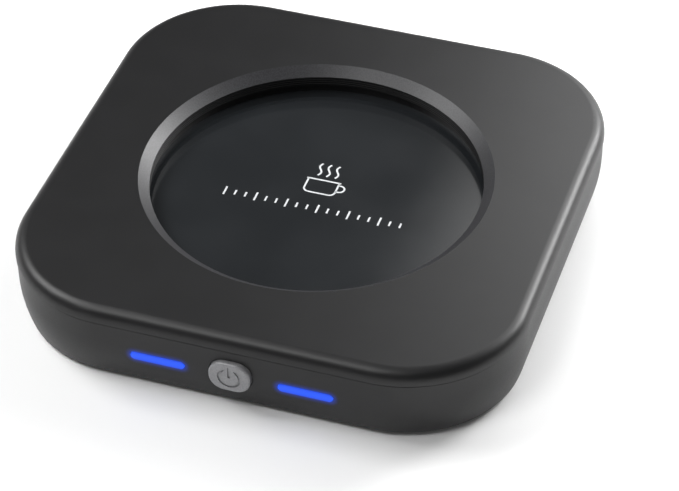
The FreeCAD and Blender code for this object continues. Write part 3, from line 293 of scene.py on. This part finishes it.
# Shading of the pieces that come from the frame: curved faces run smooth, corners stay crisp.
def smooth_by_angle():
    made = bpy.data.node_groups.new("smooth_by_angle", "GeometryNodeTree")
    made.interface.new_socket("Geometry", in_out="INPUT", socket_type="NodeSocketGeometry")
    made.interface.new_socket("Geometry", in_out="OUTPUT", socket_type="NodeSocketGeometry")
    piece = node(made, "NodeGroupInput")[0]
    merged = node(made, "GeometryNodeMergeByDistance", {"Geometry": piece, "Distance": WELD})[0]
    smooth = node(made, "GeometryNodeSetShadeSmooth", {"Geometry": merged})[0]
    angle = node(made, "GeometryNodeInputMeshEdgeAngle")[0]
    steep = node(made, "FunctionNodeCompare", {0: angle, 1: CRISP_ANGLE})[0]
    crisp = node(made, "GeometryNodeSetShadeSmooth",
                 {"Geometry": smooth, "Selection": steep, "Shade Smooth": False}, domain="EDGE")[0]
    node(made, "NodeGroupOutput", {0: crisp})
    return made


def dress(name, finish, shading):
    """Give a piece of the frame its finish and its shading."""
    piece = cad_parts[name]
    piece.data.materials.clear()
    piece.data.materials.append(finish)
    piece.modifiers.new("shade", "NODES").node_group = shading
    weight = piece.modifiers.new("weight", "WEIGHTED_NORMAL")
    weight.keep_sharp = True
    weight.weight = 100


def shell_finishes():
    """Finishes of the pieces that can be seen from outside, with their nodes."""
    feet = ["rubber_foot_" + corner for corner in ("front_left", "front_right", "rear_left", "rear_right")]
    return {
        cover_abs(): ["top_cover"],
        base_abs(): ["base_shell"],
        satin_grey_paint(): ["power_button"],
        back_printed_glass(): ["glass_plate"],
        lit_acrylic(): ["light_guide_left", "light_guide_right"],
        plain("moulded_black_silicone", "131314", "1A1A1B", 0.45): ["plate_seal"],
        plain("moulded_black_rubber", "1C1C1D", "232324", 0.65): ["cord_bush"] + feet,
    }


def heater_finishes():
    """Finishes of the heater under the glass and of what fixes it, with their nodes."""
    return {
        plain("zinc_plated_steel", "A9A9A6", "B8B7B2", 0.35, 1.0, 4.0): [
            "cover_screws", "carrier_screws", "heater_backplate", "backplate_screws", "fuse_clip",
            "board_screws", "front_board_screws", "switch_cover", "switch_dome"],
        plain("glass_filled_nylon", "1F1D1B", "272523", 0.6): ["plate_carrier"],
        plain("mill_finish_aluminium", "C4C6C8", "CDCFD0", 0.32, 1.0, 8.0): ["heat_spreader"],
        plain("pressed_mica", "94836A", "B09A7A", 0.5): ["mica_sheet_top", "mica_sheet_bottom"],
        plain("etched_resistance_foil", "8C8078", "9A8F86", 0.35, 1.0): ["heating_track"],
        plain("ceramic_felt", "D3D0C6", "E2DFD6", 0.95, 0.0, 1.2, 0.4): ["insulation_pad"],
        plain("tinned_brass", "BFA25C", "CDB06A", 0.3, 1.0): [
            "heater_terminal_inner", "heater_terminal_outer"],
        plain("epoxy_bead", "3B241D", "4A2E25", 0.4): ["thermistor"],
        plain("tinned_fuse_can", "B9BBBD", "C5C7C8", 0.3, 1.0): ["thermal_fuse"],
    }


def board_finishes():
    """Finishes of the boards, their parts and the wiring, with their nodes."""
    return {
        plain("green_solder_mask", "0C4522", "0F5229", 0.32): ["main_board", "front_board"],
        plain("moulded_black_epoxy", "17171A", "1E1E21", 0.5): [
            "triac", "control_chip", "switch_housing", "switch_stem"],
        plain("shrink_sleeve", "161C2C", "1B2234", 0.3): ["smoothing_capacitor"],
        plain("brown_phenolic_cap", "452A18", "51331F", 0.45): ["input_fuse"],
        plain("green_polyamide", "1C6A36", "22773F", 0.5): ["terminal_block"],
        plain("white_polyphthalamide", "E2E2DE", "EBEBE8", 0.35): ["led_left", "led_right"],
        plain("white_silicone_insulation", "D6D4CB", "E0DED6", 0.55): [
            "heater_lead_inner", "heater_lead_outer", "fuse_lead", "thermistor_lead_left",
            "thermistor_lead_right"],
        plain("grey_flat_cable", "949494", "A0A0A0", 0.5): ["board_cable"],
    }


def dress_pieces():
    shading = smooth_by_angle()
    for finishes in (shell_finishes(), heater_finishes(), board_finishes()):
        for finish, names in finishes.items():
            for name in names:
                dress(name, finish, shading)


# Print on the glass: a plain mug with three curls of steam, over a row of long and short ticks.

def stroke(vertices, faces, points):
    """Add a flat line of even width through points, in millimetres, as a thin closed strip."""
    first = len(vertices)
    under = GLASS_TOP - PRINT_THICKNESS / 3
    for index, (x, y) in enumerate(points):
        before = points[max(index - 1, 0)]
        after = points[min(index + 1, len(points) - 1)]
        along = Vector((after[0] - before[0], after[1] - before[1])).normalized() * PRINT_LINE / 2
        for side in (-1, 1):
            for level in (under, under + PRINT_THICKNESS):
                vertices.append(Vector((x - side * along.y, y + side * along.x, level)) * MM)
    for index in range(len(points) - 1):
        a = first + 4 * index
        b = a + 4
        faces.extend([(a + 1, b + 1, b + 3, a + 3), (a, a + 2, b + 2, b), (a, b, b + 1, a + 1),
                      (a + 2, a + 3, b + 3, b + 2)])
    last = first + 4 * (len(points) - 1)
    faces.extend([(first, first + 1, first + 3, first + 2), (last, last + 2, last + 3, last + 1)])


def arc(x, y, radius, start, stop, steps=14):
    angles = [math.radians(start + (stop - start) * step / steps) for step in range(steps + 1)]
    return [(x + radius * math.cos(angle), y + radius * math.sin(angle)) for angle in angles]


def mug_lines():
    """The mug's wall, its rim and its handle."""
    side = MUG_HALF - MUG_CORNER
    foot = MUG_FLOOR + MUG_CORNER
    left = arc(-side, foot, MUG_CORNER, 180, 270)
    right = arc(side, foot, MUG_CORNER, 270, 360)
    cup = [(-MUG_HALF, MUG_RIM)] + left + right + [(MUG_HALF, MUG_RIM)]
    rim = [(-MUG_HALF - RIM_OVERHANG, MUG_RIM), (MUG_HALF + RIM_OVERHANG, MUG_RIM)]
    bow = arc(MUG_HALF + HANDLE_REACH, HANDLE_LEVEL, HANDLE_RADIUS, 90, -90)
    top = (MUG_HALF, HANDLE_LEVEL + HANDLE_RADIUS)
    bottom = (MUG_HALF - HANDLE_OVERLAP, HANDLE_LEVEL - HANDLE_RADIUS)
    return [cup, rim, [top] + bow + [bottom]]


def steam_lines():
    shares = [step / STEAM_STEPS for step in range(STEAM_STEPS + 1)]
    return [[(middle + STEAM_SWAY * math.sin(2 * math.pi * share), STEAM_START + STEAM_RISE * share)
             for share in shares] for middle in (-STEAM_GAP, 0.0, STEAM_GAP)]


def tick_lines():
    lines = []
    for index in range(TICKS):
        x = TICK_START + TICK_PITCH * index
        half = LONG_TICK if index % LONG_EVERY == 0 else SHORT_TICK
        lines.append([(x, TICK_LEVEL - half), (x, TICK_LEVEL + half)])
    return lines


def make_print():
    vertices = []
    faces = []
    for points in mug_lines() + steam_lines() + tick_lines():
        stroke(vertices, faces, points)
    mesh = bpy.data.meshes.new("glass_print")
    mesh.from_pydata(vertices, [], faces)
    mesh.validate()
    mesh.materials.append(silver_ink())
    print_piece = bpy.data.objects.new("glass_print", mesh)
    bpy.context.scene.collection.objects.link(print_piece)
    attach(print_piece, "root")


# Stage, camera and light

def make_camera():
    back = Vector((math.sin(AZIMUTH) * math.cos(ELEVATION), -math.cos(AZIMUTH) * math.cos(ELEVATION),
                   math.sin(ELEVATION)))
    level = Vector((math.cos(AZIMUTH), math.sin(AZIMUTH), 0))
    upright = back.cross(level)
    right = math.cos(ROLL) * level + math.sin(ROLL) * upright
    up = math.cos(ROLL) * upright - math.sin(ROLL) * level
    data = bpy.data.cameras.new("camera")
    data.lens = LENS
    data.sensor_width = SENSOR
    data.sensor_fit = "HORIZONTAL"
    data.clip_start = CLIP_START
    data.clip_end = CLIP_END
    camera = bpy.data.objects.new("camera", data)
    bpy.context.scene.collection.objects.link(camera)
    turn = Matrix((right, up, back)).transposed().to_4x4()
    camera.matrix_world = Matrix.Translation(TARGET + back * DISTANCE) @ turn
    bpy.context.scene.camera = camera


# Matt white sweep: the palest plain ground, a little lifted where it is seen, and clear from below.
def white_sweep():
    tree, shader, made = surface("matt_white_sweep", Roughness=0.95, Emission_Color=(1, 1, 1, 1))
    tree.links.new(two_shades(tree, "F6F6F6", "F9F9F9", 300.0), shader.inputs["Base Color"])
    ray = node(tree, "ShaderNodeLightPath")
    seen = ray["Is Camera Ray"]
    for kind in ("Is Glossy Ray", "Is Transmission Ray"):
        seen = node(tree, "ShaderNodeMath", {0: seen, 1: ray[kind]}, operation="MAXIMUM")[0]
    lift = node(tree, "ShaderNodeMath", {0: seen, 1: FLOOR_LIFT}, operation="MULTIPLY")[0]
    tree.links.new(lift, shader.inputs["Emission Strength"])
    clear = node(tree, "ShaderNodeBsdfTransparent")[0]
    under = node(tree, "ShaderNodeNewGeometry")["Backfacing"]
    both = node(tree, "ShaderNodeMixShader", {0: under, 1: shader.outputs[0], 2: clear})[0]
    tree.links.new(both, tree.nodes["Material Output"].inputs["Surface"])
    return made


def make_floor():
    half = FLOOR_HALF
    mesh = bpy.data.meshes.new("floor")
    mesh.from_pydata([(-half, -half, 0), (half, -half, 0), (half, half, 0), (-half, half, 0)], [],
                     [(0, 1, 2, 3)])
    mesh.materials.append(white_sweep())
    floor = bpy.data.objects.new("floor", mesh)
    bpy.context.scene.collection.objects.link(floor)


def make_world():
    """A room with a pale wall all round, low down, under a dim ceiling."""
    world = bpy.data.worlds.new("studio")
    bpy.context.scene.world = world
    world.use_nodes = True
    tree = world.node_tree
    direction = node(tree, "ShaderNodeTexCoord")["Generated"]
    height = node(tree, "ShaderNodeSeparateXYZ", {0: direction})[2]
    level = node(tree, "ShaderNodeMapRange",
                 {0: height, 1: WALL_TOP, 2: CEILING_START, 3: WALL_LEVEL, 4: CEILING_LEVEL},
                 interpolation_type="SMOOTHSTEP")[0]
    background = tree.nodes["Background"]
    background.inputs["Color"].default_value = (1, 1, 1, 1)
    tree.links.new(level, background.inputs["Strength"])


def softbox(name, at, aim, width, height, power, rise=SOFT_EDGE):
    """A lamp whose light fades out softly towards its edges."""
    data = bpy.data.lights.new(name, "AREA")
    data.shape = "RECTANGLE"
    data.size = width
    data.size_y = height
    data.energy = power
    data.use_nodes = True
    tree = data.node_tree
    across = node(tree, "ShaderNodeNewGeometry")["Parametric"]
    x, y = node(tree, "ShaderNodeSeparateXYZ", {0: across})[:2]
    sides = ((x, 0.0, rise), (x, 1.0, 1.0 - SOFT_SIDE), (y, 0.0, SOFT_EDGE), (y, 1.0, 1.0 - SOFT_EDGE))
    strength = 1.0
    for place, dark, full in sides:
        fade = node(tree, "ShaderNodeMapRange", {0: place, 1: dark, 2: full},
                    interpolation_type="SMOOTHSTEP")[0]
        strength = node(tree, "ShaderNodeMath", {0: strength, 1: fade}, operation="MULTIPLY")[0]
    tree.links.new(strength, tree.nodes["Emission"].inputs["Strength"])
    lamp = bpy.data.objects.new(name, data)
    lamp.location = at
    lamp.rotation_euler = (Vector(aim) - Vector(at)).to_track_quat("-Z", "Y").to_euler()
    lamp.visible_camera = False
    bpy.context.scene.collection.objects.link(lamp)


def make_lights():
    """Key from the left, fill from the front, one close above the right half, one low behind it."""
    softbox("key_softbox", (-0.50, 0.02, 0.56), (0, 0, 0), 0.5, 0.5, 8.0)
    softbox("fill_softbox", (-0.20, -0.38, 0.72), (0, 0, 0), 0.35, 0.35, 3.5)
    softbox("near_softbox", (0.12, 0.16, 0.15), (0.04, 0.0, 0.02), 0.34, 0.24, 1.1, 0.4)
    softbox("side_softbox", (0.36, 0.46, 0.26), (0, 0, 0.01), 0.28, 0.24, 5.0)


make_camera()
make_floor()
make_world()
make_lights()
dress_pieces()
make_print()

bpy.context.scene.view_settings.view_transform = "Standard"
